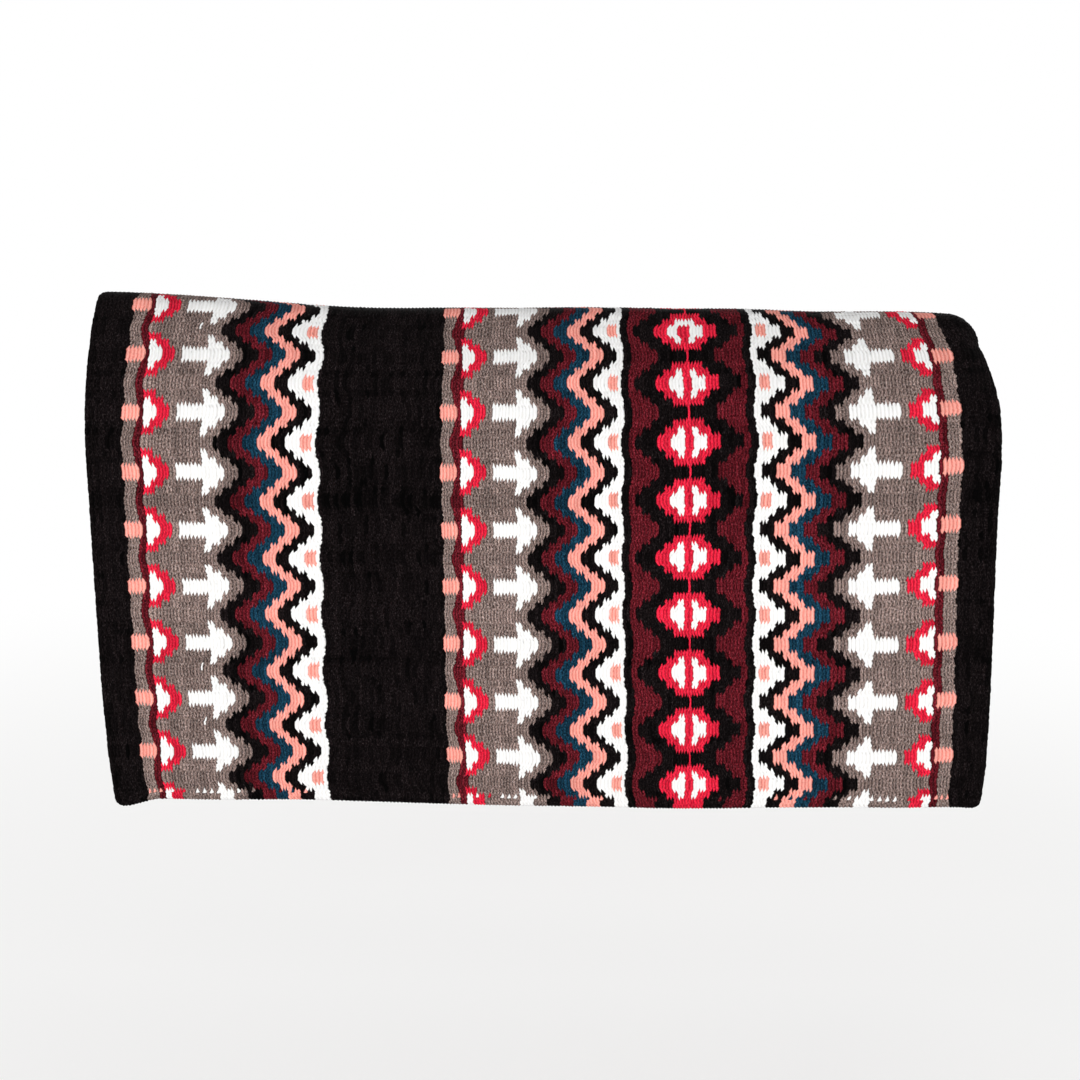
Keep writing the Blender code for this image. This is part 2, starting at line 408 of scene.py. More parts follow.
def crestSteps(rib, columns):
    # quarter steps from the middle of the nearest float of a rib
    steps = (columns - np.where(ribKind(rib) == 0, 2, 0)) % quarters
    return np.minimum(steps, quarters - steps)


def crest(rows, columns):
    # rows and columns are whole quarter steps
    rib = np.floor_divide(rows, quarters)
    phase = np.where(rows % sharedSteps == 0, 1, rows % quarters)
    steps = crestSteps(rib, columns)
    height = crestTable[phase, steps]
    ownRib = np.where((phase == 0) & (steps == 2), rib - 1, rib)
    ownRib = np.clip(ownRib, ribs[0], ribs[-1])
    index = floatIndex(columns / quarters + nudge, ownRib)
    plump = plumpness[ownRib - ribs[0], index]
    return np.where(steps == 1, height * (0.5 + 0.5 * plump), height * plump)


# Bulky yarns crowd the figures off their plan. For each ring: an edge of the plan, in floats from the
# band's left, and how many floats it stands off to the right. The bands on the right are mirrored.
figurePushes = {
    "motif": (
        ((0, -0.07), (5, 0.17), (6, 0.35), (10, 0.13), (14, -0.23), (16, -0.12)),
        ((0, 0.59), (4, -0.06), (6, 0.17), (8, 0.03), (12, -0.35), (23, 0.07), (27, 0.31)),
        ((0, 0.53), (4, -0.15), (6, 0.09), (10, -0.51), (23, 0.02), (25, 0.04)),
        ((8, 0.0), (20, -0.3), (27, -0.54)),
    ),
    "zigzag": (
        ((2, 0.55), (6, 0.44), (10, 0.90), (14, 0.61), (18, 0.54), (22, 0.52), (26, 0.45), (28, 0.44)),
        ((4, 0.13), (8, 0.43), (12, 0.40), (16, 0.35), (20, 0.12), (24, 0.29), (28, 0.07)),
        ((2, -0.22), (6, 0.05), (10, 0.16), (14, 0.24), (18, -0.13), (22, 0.06), (28, -0.17)),
        ((4, -0.47), (8, -0.39), (12, -0.19), (16, -0.44), (20, -0.49), (24, -0.25), (27, -0.5), (28, -0.60)),
    ),
    "diamond": (
        ((2, 0.87), (10, 0.78), (17, 0.0), (19, -0.2), (21, 0.0), (28, -0.78), (36, -0.87)),
        ((2, 0.50), (8, 0.19), (14, 0.60), (18, 0.1), (20, -0.1), (24, -0.60), (30, -0.19), (36, -0.50)),
        ((2, 0.18), (6, -0.09), (12, 0.40), (16, 0.04), (18, -0.12), (20, 0.12), (22, -0.04), (26, -0.40),
         (32, 0.09), (36, -0.18)),
        ((2, -0.22), (4, -0.33), (10, -0.11), (14, -0.20), (18, -0.37), (20, 0.37), (24, 0.20), (28, 0.11),
         (34, 0.33), (36, 0.22)),
    ),
}
lineSwells = {                   # the maroon line and the band's edge at ring 3 differ from band to band
    "left_motif": ((0, 0.15), (4, -0.75), (6, -0.70)),
    "middle_motif": ((0, 0.10), (3, -0.10), (7, -0.40)),
    "right_motif": ((0, 0.45), (4, 0.20), (6, 0.65)),
}
pushOf = np.zeros((rings, len(columnPlaces)))
for ring in range(rings):
    knots = [(0, 0), (floatCount, 0)]
    for number, (name, _, _, count) in enumerate(bands):
        for kind, pushes in figurePushes.items():
            own = pushes[ring] if kind in name else ()
            if kind == "motif" and own and ring == 3:
                own = own + lineSwells[name]
            for edge, push in own:
                if name.startswith("right"):
                    edge, push = count - edge, -push
                knots.append((bandFloats[number] + edge, push))
    pushOf[ring] = np.interp(columnPlaces, *zip(*sorted(knots)))


pushShares = np.array((0.5, 0.9, 1.0, 0.9))      # of a rib's own pushes at its quarter steps


def figurePush(rows, columns):
    # in floats, mostly of the rib itself
    rib = np.floor_divide(rows, quarters)
    phase = rows % quarters
    beside = np.where(phase == 3, rib + 1, rib - 1)
    share = pushShares[phase]
    return share * pushOf[ribRing(rib), columns] + (1 - share) * pushOf[ribRing(beside), columns]


halfAside = 0.25         # floats: ribs close up by this from both sides of their half float
underApart = 3.0         # m down the cloth, so that the underside has fibres and twist of its own


def latticePlace(rows, columns):
    # rows and columns are whole quarter steps, in arrays that broadcast
    k, p = rows / quarters, columns / quarters
    rib = np.floor_divide(rows, quarters)
    phase = rows % quarters
    inner = (rows > firstRow) & (rows < lastRow)
    inside = (columns > 0) & (columns < columnCount)
    rowIndex = rows - firstRow

    # sideways: the half float aside closes up towards the middle of a rib, and of two that share
    # floats. The tips that reach in from the next rib stay out of that.
    shared = (rows + 1) % sharedSteps < 3
    tips = (phase % 2 == 1) & (crestSteps(rib, columns) == 2)
    closed = np.where(tips, 0, np.array(weave["leans"])[phase])
    closed = np.where(shared, 1, closed)
    lean = (closed * np.where(ribKind(rib) == 0, 1, -1) - 1) * halfAside
    slack = np.where(phase % 2 == 1, 0.5, 1.0) * sideSlip[rowIndex, columns] * inner
    lean = lean + slack + figurePush(rows, columns)
    shifted = np.where(inside, p + lean * np.clip(np.minimum(p, floatCount - p), 0, 1), p)
    widened = bandEdges.copy()
    widened[0] -= wrapSpare
    widened[-1] += wrapSpare
    u = np.interp(shifted, bandFloats, widened)
    waveSize, waveLength = unlike["bandSwell"]
    u = u + waveSize * swell(u, k * weave["ribPitch"], waveLength, seed=5) * inside

    # down the cloth: the tips of the floats aren't in line, and the middles of ribs keep their place
    slip = np.where(phase == 0, 0.25, 1.0) * tipSlip[rowIndex, columns] * inner
    slip = np.where(phase == 2, 0, slip) + weave["tipStretch"] * np.array((0, 1, 0, -1))[phase] * inner
    s = weave["firstCross"] + weave["ribPitch"] * (k + slip)
    waveSize, waveLength = unlike["rowSwell"]
    s = s + waveSize * swell(u, s, waveLength, seed=6) * inner
    return u, s, crest(rows, columns)


def hemEdges():
    # distance from the ridge to each hem where the cloth isn't askew, before the runout
    near = cloth["length"] / 2 + cloth["laidOffCentre"]
    return near, near - cloth["length"]


def pulled(u, s):
    # how far a place on the cloth is off the true grid
    pullU, pullS = np.zeros(u.shape), np.zeros(u.shape)
    fromEdge = np.minimum(u, clothWidth - u)
    nearRidge = 1 - eased((np.abs(s) - lie["narrowHold"]) / lie["narrowFade"])
    pullU -= lie["narrowing"] * (u - lie["narrowMiddle"]) * (eased(fromEdge / lie["narrowEdge"]) * nearRidge)
    place, reach, down, size = (value * mm for value in lie["droopPull"])
    hump = np.exp(-((u - place) / reach) ** 2 - (s / down) ** 2)
    pullU += size * hump * eased(fromEdge / lie["droopPullEdge"])
    nearShare = 1 - eased(-s / lie["offFade"])
    held = eased(fromEdge / lie["acrossEdge"])
    for pulls, total, hold in ((pullsAcross, pullU, held), (pullsDown, pullS, 1.0)):
        for _, place, reach, sizes in pulls:
            size = np.interp(s, np.array(pullRows) * mm, np.array(sizes) * mm)
            total += size * np.exp(-((u - place * mm) / (reach * mm)) ** 2) * nearShare * hold
    for (rows, sizes), away in zip(edgePulls, (u, clothWidth - u)):
        size = np.interp(s, np.array(rows) * mm, np.array(sizes) * mm)
        pullU += size * (1 - eased(away / lie["edgePullReach"])) * nearShare
    low = eased((s - lie["cornerStart"]) / lie["cornerRun"])
    pullS += lie["cornerDrop"] * low * (1 - eased((u - lie["cornerEdge"]) / lie["cornerReach"]))
    return pullU, pullS


def onCloth(u, s, bump, under):
    # rounds the cloth's edges and corners over from face to underside, then drapes it
    hems = hemEdges()
    corner = cloth["cornerRadius"]
    arcCorner = corner + wrapSpare
    signU = np.where(u < halfWidth, -1, 1)
    signS = np.where(s < 0, -1, 1)
    edgeU = np.where(signU < 0, 0, clothWidth)
    edgeS = np.where(signS < 0, hems[1], hems[0])
    shareU = np.clip(1 - (wrapSpare + signU * (edgeU - u)) / arcCorner, 0, 1)
    shareS = np.clip(1 - (wrapSpare + signS * (edgeS - s)) / arcCorner, 0, 1)
    roundU = shareU * np.sqrt(1 - shareS ** 2 / 2)
    roundS = shareS * np.sqrt(1 - shareU ** 2 / 2)
    reach = np.hypot(roundU, roundS)
    fromEdge = arcCorner * (1 - reach)
    turn = np.clip(1 - fromEdge / wrapArc, 0, 1) * math.pi / 2
    thick = weave["valley"] + weave["plump"] * bump
    plan = np.where(turn > 0, wrapRadius - thick * np.sin(turn), fromEdge - wrapSpare)
    height = thick * np.cos(turn)
    near = reach > 1e-9
    safe = np.where(near, reach, 1)
    u = np.where(shareU > 0, edgeU - signU * (corner - roundU / safe * (corner - plan)), u)
    s = np.where(shareS > 0, edgeS - signS * (corner - roundS / safe * (corner - plan)), s)

    pullU, pullS = pulled(u, s)
    across = u + pullU - halfWidth
    spread = s * (1 + weave["hangsOut"] * across / clothWidth)
    drop = (spread + pullS) * askewCos - across * askewSin
    if under:
        height = -height
    hanging = eased((np.abs(s) - cloth["wanderFrom"]) / cloth["wanderRise"])
    wander = swell(u, s, cloth["wanderLength"], seed=7, count=8)
    height = height + cloth["flapWander"] * wander * hanging
    return clothPlace(across, drop, height)


def ribDistance(s):
    # The last ribs before each hem are beaten a little closer. At the hem rows of the lattice s is
    # the hem plus the cloth that the rounded edge takes.
    hems = hemEdges()
    for edge, count in ((hems[0] + wrapSpare, weave["nearRibs"]), (hems[1] - wrapSpare, weave["offRibs"])):
        side = 1 if count > 0 else -1
        plain = weave["firstCross"] + weave["ribPitch"] * count
        start = plain - side * weave["beatenRibs"] * weave["ribPitch"]
        share = np.clip((s - start) / (plain - start), 0, None)
        s = np.where(share > 0, start + (edge - start) * share, s)
    return s


def gridPart(rows, columns, under):
    # places, attributes and triangles of one face of a piece
    r, c = np.meshgrid(rows, columns, indexing="ij")
    u, s, bump = latticePlace(r, c)
    s = ribDistance(s)
    places = onCloth(u, s, bump, under)
    return {
        "rows": rows, "columns": columns, "places": places.reshape(-1, 3),
        "cloth": np.stack([u, s + underApart * under, np.zeros_like(u)], -1).reshape(-1, 3),
        "crest": bump.reshape(-1), "lattice": np.stack([c / quarters, r / quarters], -1).reshape(-1, 2),
    }


def gridTriangles(rows, columns, under):
    # each square is cut along the edge between two floats
    wide = len(columns)
    r, c = np.meshgrid(np.arange(len(rows) - 1), np.arange(wide - 1), indexing="ij")
    low = r * wide + c
    high = low + wide
    boundary = np.round((rows[r] + rows[r + 1]) / (2 * quarters) + nudge).astype(int)
    centre = np.where(ribKind(boundary) == 0, 2, 0)
    rising = ((columns[c] - centre) % quarters < 2)[..., None]
    first = np.where(rising, np.stack([low, high, high + 1], -1), np.stack([low, high, low + 1], -1))
    second = np.where(rising, np.stack([low, high + 1, low + 1], -1), np.stack([high, high + 1, low + 1], -1))
    made = np.concatenate([first.reshape(-1, 3), second.reshape(-1, 3)])
    return made[:, ::-1] if under else made


def zipped(outer, outerAt, inner, innerAt, flip):
    # triangles between two rows of points that don't match in number
    made, i, j = [], 0, 0
    while i < len(outer) - 1 or j < len(inner) - 1:
        stepOuter = j == len(inner) - 1 or (i < len(outer) - 1 and outerAt[i + 1] <= innerAt[j + 1])
        if stepOuter:
            made.append((outer[i], inner[j], outer[i + 1]))
            i += 1
        else:
            made.append((outer[i], inner[j], inner[j + 1]))
            j += 1
    made = np.array(made)
    return made[:, ::-1] if flip else made


# The flat map of a piece: its face on the left, its underside on the right, and the walls between
# them in thin strips
mapPlan = {
    "face": 0.005,
    "under": 0.515,
    "wide": 0.47,
    "low": 0.01,
    "tall": 0.98,
    "sideStrips": (0.48, 0.495),     # of the left wall and the right one
    "sideStrip": 0.01,               # how wide they are
    "endStrips": (0.001, 0.993),     # at the ridge, of a near piece and an off one
    "endStrip": 0.006,
}


def bandGrids(number, nearSide):
    # face and underside of a band, and which of its four walls are rounded edges of the cloth
    middle = (bandEdges[number] + bandEdges[number + 1]) / 2 - halfWidth
    ridgeRib = round((middle * askewSin / askewCos - weave["firstCross"]) / weave["ribPitch"])
    hemRib = weave["nearRibs"] if nearSide else weave["offRibs"]
    lowRib, highRib = min(ridgeRib, hemRib), max(ridgeRib, hemRib)
    firstColumn, lastColumn = (quarters * int(edge) for edge in bandFloats[number:number + 2])
    faceRows = np.arange(quarters * lowRib, quarters * highRib + 1)
    faceColumns = np.arange(firstColumn, lastColumn + 1)
    underRows = faceRows[(faceRows % quarters != 0) | (faceRows == quarters * ridgeRib)]
    underColumns = np.arange(firstColumn, lastColumn + 1, 2)
    leftWrap, rightWrap = firstColumn == 0, lastColumn == columnCount
    if leftWrap:
        underColumns = underColumns[1:]
    if rightWrap:
        underColumns = underColumns[:-1]
    wrapped = (leftWrap, rightWrap, not nearSide, nearSide)
    return gridPart(faceRows, faceColumns, False), gridPart(underRows, underColumns, True), wrapped


def closedTriangles(face, under):
    # the triangles of the face, of the underside and of the four walls between them
    start = len(face["places"])
    faceRows, faceColumns = face["rows"], face["columns"]
    underRows, underColumns = under["rows"], under["columns"]
    faceTriangles = gridTriangles(faceRows, faceColumns, False)
    underTriangles = gridTriangles(underRows, underColumns, True) + start
    faceIndex = np.arange(start).reshape(len(faceRows), -1)
    underIndex = np.arange(len(under["places"])).reshape(len(underRows), -1) + start
    walls = [
        zipped(faceIndex[:, 0], faceRows, underIndex[:, 0], underRows, False),
        zipped(faceIndex[:, -1], faceRows, underIndex[:, -1], underRows, True),
        zipped(faceIndex[0], faceColumns, underIndex[0], underColumns, True),
        zipped(faceIndex[-1], faceColumns, underIndex[-1], underColumns, False),
    ]
    return faceTriangles, underTriangles, walls


def dyeFaces(mesh, middles):
    # the float that each triangle belongs to gives its dye and its tone
    rib, index = owner(middles[:, 0], middles[:, 1])
    index = np.minimum(index, floatCount - 1)
    dye = dyeOf[rib - ribs[0], index]
    fromMiddle = np.abs(middles[:, 0] - index - 0.5 - 0.5 * ribKind(rib))
    chain = (dye == red) & (index == diamondMiddle) & (ringOfRib[rib - ribs[0]] == 0)
    dye = np.where(chain & (fromMiddle > weave["chainYarn"]), black, dye)
    for slipIndex, slipRib, slipDye, share in slips:
        dye = np.where((index == slipIndex) & (rib == slipRib) & (fromMiddle < share), slipDye, dye)
    for endIndex, endRib, endDye in yarnEnds:
        height = np.abs(middles[:, 1] - endRib)
        dye = np.where((index == endIndex) & (rib == endRib) & (height < 0.5), endDye, dye)
    used = sorted(set(dye.tolist()))
    for slotDye in used:
        mesh.materials.append(woolMaterials[slotDye])
    mesh.polygons.foreach_set("material_index", np.searchsorted(used, dye).astype(np.int32))
    strand = mesh.attributes.new("strand", "FLOAT", "FACE")
    strand.data.foreach_set("value", tone[rib - ribs[0], index].astype(np.float32))


def flatPlaces(lattice, start, triangles, walls, wrapped, nearSide):
    # the place on the flat map of each corner of each triangle
    low, high = lattice.min(0), lattice.max(0)
    share = (lattice - low) / (high - low)
    upward = mapPlan["low"] + mapPlan["tall"] * share[:, 1]
    faceMap = np.stack([mapPlan["face"] + mapPlan["wide"] * share[:, 0], upward], -1)
    underMap = np.stack([mapPlan["under"] + mapPlan["wide"] * share[:, 0], upward], -1)
    corners = triangles.ravel()
    flat = np.where((corners < start)[:, None], faceMap[corners], underMap[corners])
    at = len(corners) - 3 * sum(len(wall) for wall in walls)
    for side, wall in enumerate(walls):
        span = slice(at, at + 3 * len(wall))
        own = corners[span]
        if wrapped[side]:
            flat[span] = underMap[own]
        elif side < 2:
            strip = mapPlan["sideStrips"][side]
            inStrip = np.where(own < start, strip, strip + mapPlan["sideStrip"])
            flat[span] = np.stack([inStrip, faceMap[own][:, 1]], -1)
        else:
            strip = mapPlan["endStrips"][0 if nearSide else 1]
            inStrip = np.where(own < start, strip, strip + mapPlan["endStrip"])
            flat[span] = np.stack([faceMap[own][:, 0], inStrip], -1)
        at += 3 * len(wall)
    return flat


def bandPiece(number, sideName):
    # one woven band from the ridge to a hem: face, underside and the walls between
    name, slotName, _, _ = bands[number]
    nearSide = sideName == "near"
    face, under, wrapped = bandGrids(number, nearSide)
    faceTriangles, underTriangles, walls = closedTriangles(face, under)
    triangles = np.concatenate([faceTriangles, underTriangles, *walls])
    places, clothPlaces, crests, lattice = (
        np.concatenate([face[key], under[key]]) for key in ("places", "cloth", "crest", "lattice"))

    mesh = bpy.data.meshes.new(f"{name}_{sideName}_weave")
    mesh.vertices.add(len(places))
    mesh.vertices.foreach_set("co", places.astype(np.float32).ravel())
    mesh.loops.add(triangles.size)
    mesh.loops.foreach_set("vertex_index", triangles.astype(np.int32).ravel())
    mesh.polygons.add(len(triangles))
    mesh.polygons.foreach_set("loop_start", np.arange(0, triangles.size, 3, dtype=np.int32))
    mesh.update(calc_edges=True)
    dyeFaces(mesh, lattice[triangles].mean(1))
    height = mesh.attributes.new("crest", "FLOAT", "POINT")
    height.data.foreach_set("value", crests.astype(np.float32))
    clothLie = mesh.attributes.new("clothPlace", "FLOAT_VECTOR", "POINT")
    clothLie.data.foreach_set("vector", clothPlaces.astype(np.float32).ravel())
    layer = mesh.uv_layers.new(name="OFBake")
    flat = flatPlaces(lattice, len(face["places"]), triangles, walls, wrapped, nearSide)
    layer.data.foreach_set("uv", flat.astype(np.float32).ravel())

    # walls inside the cloth don't round its face
    smooth = np.ones(len(triangles), bool)
    at = len(faceTriangles) + len(underTriangles)
    for side, wall in enumerate(walls):
        smooth[at:at + len(wall)] = wrapped[side]
        at += len(wall)
    mesh.polygons.foreach_set("use_smooth", smooth)
    mesh.validate()
    mesh.update()

    piece = bpy.data.objects.new(f"{name}_{sideName}_weave", mesh)
    bpy.context.scene.collection.objects.link(piece)
    side = -1 if nearSide else 1
    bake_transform(piece)
    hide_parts(f"{name}_{sideName}", f"{name}_spine", f"selvedge_{sideName}")
    return piece


# Wool
def linear(hexColour):
    # sRGB hex to the linear colour that the shader takes
    values = [int(hexColour[i:i + 2], 16) / 255 for i in (1, 3, 5)]
    return [v / 12.92 if v <= 0.04045 else ((v + 0.055) / 1.055) ** 2.4 for v in values] + [1.0]


def addNode(tree, kind, settings, links):
    # settings are node properties or, by name or number, values of its inputs
    node = tree.nodes.new(kind)
    for key, value in settings.items():
        if isinstance(key, int) or key in node.inputs:
            node.inputs[key].default_value = value
        else:
            setattr(node, key, value)
    for key, source in links.items():
        tree.links.new(source, node.inputs[key])
    return node


# Loosely spun wool yarn, dyed before it was woven. Each dye: its colour, a darker colour that is painted
# shade in the valleys between the floats and also the colour of darker flecks, the lighter one of loose
# fibres, how much the yarns differ, how flecked they are, and how much each tuft of fibres stands lighter or
# darker than the next.
wools = {
    "black wool yarn": {
        "dye": "#0A0606", "valleyShadeAndFleck": "#010000", "fibre": "#3A3335",
        "uneven": 0.42, "fleck": 0.62, "grain": 0.45},
    "heathered grey wool yarn": {
        "dye": "#89736C", "valleyShadeAndFleck": "#221918", "fibre": "#C9BAB5",
        "uneven": 0.15, "fleck": 0.92, "grain": 0.31},
    "maroon wool yarn": {
        "dye": "#61131C", "valleyShadeAndFleck": "#1F0407", "fibre": "#98404C",
        "uneven": 0.20, "fleck": 0.78, "grain": 0.42},
    "teal wool yarn": {
        "dye": "#103449", "valleyShadeAndFleck": "#06151E", "fibre": "#386B84",
        "uneven": 0.20, "fleck": 0.75, "grain": 0.40},
    "coral wool yarn": {
        "dye": "#FBAA9E", "valleyShadeAndFleck": "#D9796B", "fibre": "#FFD0C4",
        "uneven": 0.07, "fleck": 0.40, "grain": 0.07},
    "red wool yarn": {
        "dye": "#EE203F", "valleyShadeAndFleck": "#98091F", "fibre": "#FB657C",
        "uneven": 0.11, "fleck": 0.50, "grain": 0.16},
    "white wool yarn": {
        "dye": "#F5F5F5", "valleyShadeAndFleck": "#E6E4E2", "fibre": "#FFFFFF",
        "uneven": 0.015, "fleck": 0.10, "grain": 0.012},
}

# The grains of the wool: width across the yarn and length along it in mm, detail and roughness
grains = {
    "fibres": (0.25, 4.0, 2.0, 0.6),
    "flecks": (0.9, 2.5, 3.0, 0.7),      # undyed and darker wool in the heather
    "tufts": (0.7, 1.6, 2.0, 0.65),
}
plyTurn = 1.1                            # mm from turn to turn of the two plies
wavesPerUnit = 3.2                       # of a wave texture whose scale is 1
reliefDepth = 0.06 * mm                  # of the fibres, and the twist is twice as deep


def woolMaterial(name, look):
    # matt, with light caught in loose fibres at grazing angles, and the twist of two-ply yarn
    material = bpy.data.materials.new(name)
    material.use_nodes = True
    tree = material.node_tree
    tree.nodes.clear()
    place = addNode(tree, "ShaderNodeAttribute", {"attribute_name": "clothPlace"}, {})
    strand = addNode(tree, "ShaderNodeAttribute", {"attribute_name": "strand"}, {})
    crestHeight = addNode(tree, "ShaderNodeAttribute", {"attribute_name": "crest"}, {})

    # fibres, flecks and tufts lie along the yarn, which runs down the cloth
    noise = {}
    for grainName, (wide, long, detail, roughness) in grains.items():
        stretched = addNode(tree, "ShaderNodeVectorMath",
                            {"operation": "MULTIPLY", 1: (1 / wide, 1 / long, 1)},
                            {0: place.outputs["Vector"]})
        noise[grainName] = addNode(tree, "ShaderNodeTexNoise",
                                   {"Scale": 1 / mm, "Detail": detail, "Roughness": roughness},
                                   {"Vector": stretched.outputs[0]}).outputs[0]
    # two plies wound round each other
    twist = addNode(tree, "ShaderNodeTexWave",
                    {"wave_type": "BANDS", "bands_direction": "DIAGONAL",
                     "Scale": 1 / (plyTurn * mm * wavesPerUnit),
                     "Distortion": 2.5, "Detail": 1.0, "Detail Scale": 1.2},
                    {"Vector": place.outputs["Vector"]})

    # colour: painted shade in the valleys between the floats, fading to the dye by height, then lighter
    # fibres and flecks, then the yarn's own tone
    outOfShade = addNode(tree, "ShaderNodeMapRange",
                   {"From Min": 0.12, "From Max": 0.78, "To Min": 0.0, "To Max": 1.0},
                   {"Value": crestHeight.outputs["Fac"]})
    valleyShaded = addNode(tree, "ShaderNodeMix",
                   {"data_type": "RGBA", 6: linear(look["valleyShadeAndFleck"]), 7: linear(look["dye"])},
                   {0: outOfShade.outputs[0]})
    lift = addNode(tree, "ShaderNodeMapRange",
                   {"From Min": 0.48, "From Max": 0.80, "To Min": 0.0, "To Max": look["fleck"]},
                   {"Value": noise["flecks"]})
    lighter = addNode(tree, "ShaderNodeMix", {"data_type": "RGBA", 7: linear(look["fibre"])},
                      {0: lift.outputs[0], 6: valleyShaded.outputs[2]})
    sink = addNode(tree, "ShaderNodeMapRange",
                   {"From Min": 0.50, "From Max": 0.20, "To Min": 0.0, "To Max": look["fleck"]},
                   {"Value": noise["flecks"]})
    # darker flecks take the colour that is also the painted valley shade
    darker = addNode(tree, "ShaderNodeMix", {"data_type": "RGBA", 7: linear(look["valleyShadeAndFleck"])},
                     {0: sink.outputs[0], 6: lighter.outputs[2]})
    toneShare = addNode(tree, "ShaderNodeMath", {"operation": "MULTIPLY_ADD", 1: look["uneven"], 2: 1.0},
                        {0: strand.outputs["Fac"]})
    fibreTone = addNode(tree, "ShaderNodeMapRange",
                        {"From Min": 0.3, "From Max": 0.7, "To Min": 1 - look["grain"],
                         "To Max": 1 + look["grain"]},
                        {"Value": noise["fibres"]})
    tuftTone = addNode(tree, "ShaderNodeMapRange",
                       {"From Min": 0.36, "From Max": 0.64, "To Min": 1 - 2 * look["grain"],
                        "To Max": 1 + 2 * look["grain"]},
                       {"Value": noise["tufts"]})
    grain = addNode(tree, "ShaderNodeMath", {"operation": "MULTIPLY"},
                    {0: fibreTone.outputs[0], 1: tuftTone.outputs[0]})
    shade = addNode(tree, "ShaderNodeMath", {"operation": "MULTIPLY"},
                    {0: toneShare.outputs[0], 1: grain.outputs[0]})
    colour = addNode(tree, "ShaderNodeVectorMath", {"operation": "SCALE"},
                     {0: darker.outputs[2], "Scale": shade.outputs[0]})

    # relief of the twist and the fibres
    relief = addNode(tree, "ShaderNodeMath", {"operation": "MULTIPLY_ADD", 1: 2.0},
                     {0: twist.outputs[1], 2: noise["fibres"]})
    bump = addNode(tree, "ShaderNodeBump", {"Strength": 0.7, "Distance": reliefDepth},
                   {"Height": relief.outputs[0]})
    shader = addNode(tree, "ShaderNodeBsdfPrincipled",
                     {"Roughness": 0.95, "IOR": 1.55, "Specular IOR Level": 0.03,
                      "Sheen Weight": 0.008, "Sheen Roughness": 0.5},
                     {"Base Color": colour.outputs[0], "Normal": bump.outputs[0]})
    addNode(tree, "ShaderNodeOutputMaterial", {}, {"Surface": shader.outputs[0]})
    material.diffuse_color = linear(look["dye"])
    return material


woolMaterials = [woolMaterial(name, look) for name, look in wools.items()]
print("wool: seven dyes")

for number in range(len(bands)):
    for sideName in ("near", "off"):
        bandPiece(number, sideName)
    print("woven:", bands[number][0])

# Camera, at the angle of the photograph
photo = {
    "place": (0.0527, -1.5, 0.0905),
    "heading": 0.0306,           # towards -X, radians
    "pitch": 0.2086,             # downward
    "roll": 0.0227,
    "lens": 50.36,
    "sensor": 36,
}


def addCamera():
    camera = bpy.data.objects.new("camera", bpy.data.cameras.new("camera"))
    camera.data.lens = photo["lens"]
    camera.data.sensor_width = photo["sensor"]
    ahead = Vector((-math.sin(photo["heading"]), math.cos(photo["heading"]), 0))
    level = Vector((math.cos(photo["heading"]), math.sin(photo["heading"]), 0))
    upright = Vector((0, 0, 1))
    forward = ahead * math.cos(photo["pitch"]) - upright * math.sin(photo["pitch"])
    up = upright * math.cos(photo["pitch"]) + ahead * math.sin(photo["pitch"])
    right = level * math.cos(photo["roll"]) + up * math.sin(photo["roll"])
    up = up * math.cos(photo["roll"]) - level * math.sin(photo["roll"])
    turned = Matrix((right, up, -forward)).transposed().to_4x4()
    camera.matrix_world = Matrix.Translation(photo["place"]) @ turned
    bpy.context.scene.collection.objects.link(camera)
    bpy.context.scene.camera = camera


# Studio
studio = {
    "floorDrop": 0.68,           # from the ridge to the floor
    "floorRadius": 6.0,
    "floorColour": "#F2F1EF",
    "floorSides": 96,
    "floorFade": (0.75, 1.9),    # from the middle, where the floor passes into the backdrop
    "floorGlow": 0.64,           # how much of it is backdrop even in the middle
    "skyStrength": 0.36,
    "aim": (0, 0, -0.25),
    "lamps": (                   # name, place, size and power
        ("key lamp", (-1.2, -2.3, 0.40), 1.6, 36.0),
        ("fill lamp", (0.9, -1.9, -0.38), 0.55, 12.5),
        ("back lamp", (0.3, 2.3, 0.9), 2.2, 36.0),
    ),
}


def addBackdrop():
    # soft even air for the light, and plain white behind the cloth for the eye
    world = bpy.data.worlds.new("studio air")
    bpy.context.scene.world = world
    world.use_nodes = True
    tree = world.node_tree
    tree.nodes.clear()
    path = addNode(tree, "ShaderNodeLightPath", {}, {})
    seen = addNode(tree, "ShaderNodeMath", {"operation": "MAXIMUM"},
                   {0: path.outputs["Is Camera Ray"], 1: path.outputs["Is Glossy Ray"]})
    seen = addNode(tree, "ShaderNodeMath", {"operation": "MAXIMUM"},
                   {0: seen.outputs[0], 1: path.outputs["Is Transmission Ray"]})
    sky = addNode(tree, "ShaderNodeBackground",
                  {"Color": (1, 1, 1, 1), "Strength": studio["skyStrength"]}, {})
    backdrop = addNode(tree, "ShaderNodeBackground", {"Color": (1, 1, 1, 1), "Strength": 1.0}, {})
    mixed = addNode(tree, "ShaderNodeMixShader", {},
                    {0: seen.outputs[0], 1: sky.outputs[0], 2: backdrop.outputs[0]})
    addNode(tree, "ShaderNodeOutputWorld", {}, {"Surface": mixed.outputs[0]})


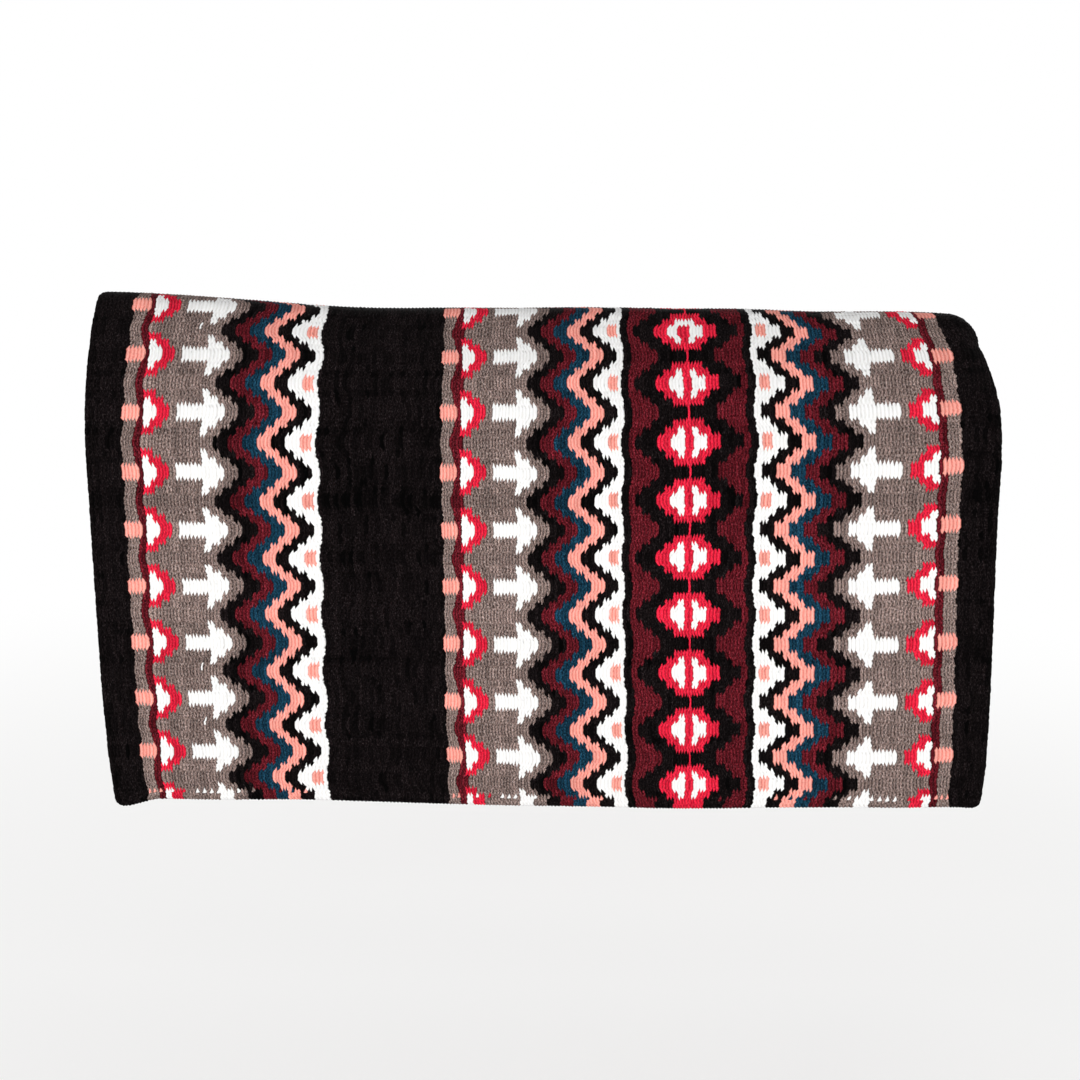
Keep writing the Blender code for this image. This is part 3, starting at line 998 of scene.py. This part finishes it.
def addFloor():
    floorMesh = bpy.data.meshes.new("studio floor")
    sides, radius = studio["floorSides"], studio["floorRadius"]
    turns = [2 * math.pi * i / sides for i in range(sides)]
    ring = [(radius * math.cos(turn), radius * math.sin(turn), -studio["floorDrop"]) for turn in turns]
    floorMesh.from_pydata(ring, [], [tuple(range(sides))])
    floor = bpy.data.objects.new("studio floor", floorMesh)
    bpy.context.scene.collection.objects.link(floor)
    material = bpy.data.materials.new("matt white floor paint")   # even and bright, it holds a soft shadow
    material.use_nodes = True
    tree = material.node_tree
    tree.nodes.clear()
    path = addNode(tree, "ShaderNodeLightPath", {}, {})
    place = addNode(tree, "ShaderNodeNewGeometry", {}, {})
    away = addNode(tree, "ShaderNodeVectorMath", {"operation": "LENGTH"}, {0: place.outputs["Position"]})
    fade = addNode(tree, "ShaderNodeMapRange",
                   {"interpolation_type": "SMOOTHSTEP", "From Min": studio["floorFade"][0],
                    "From Max": studio["floorFade"][1], "To Min": studio["floorGlow"], "To Max": 1.0},
                   {"Value": away.outputs["Value"]})
    seen = addNode(tree, "ShaderNodeMath", {"operation": "MULTIPLY"},
                   {0: fade.outputs[0], 1: path.outputs["Is Camera Ray"]})
    paint = addNode(tree, "ShaderNodeBsdfPrincipled",
                    {"Base Color": linear(studio["floorColour"]), "Roughness": 0.8}, {})
    glow = addNode(tree, "ShaderNodeEmission", {"Color": (1, 1, 1, 1), "Strength": 1.0}, {})
    mixed = addNode(tree, "ShaderNodeMixShader", {},
                    {0: seen.outputs[0], 1: paint.outputs[0], 2: glow.outputs[0]})
    addNode(tree, "ShaderNodeOutputMaterial", {}, {"Surface": mixed.outputs[0]})
    floorMesh.materials.append(material)
    return floor


def addStudio():
    addBackdrop()
    placed = [addFloor()]
    for name, spot, size, power in studio["lamps"]:
        lamp = bpy.data.objects.new(name, bpy.data.lights.new(name, "AREA"))
        lamp.data.shape = "DISK"
        lamp.data.size = size
        lamp.data.energy = power
        lamp.location = spot
        lamp.rotation_mode = "QUATERNION"
        lamp.rotation_quaternion = (Vector(studio["aim"]) - Vector(spot)).to_track_quat("-Z", "Y")
        bpy.context.scene.collection.objects.link(lamp)
        placed.append(lamp)
    bpy.context.scene.view_settings.view_transform = "Standard"


addCamera()
addStudio()
print("studio: floor, air and three lamps")
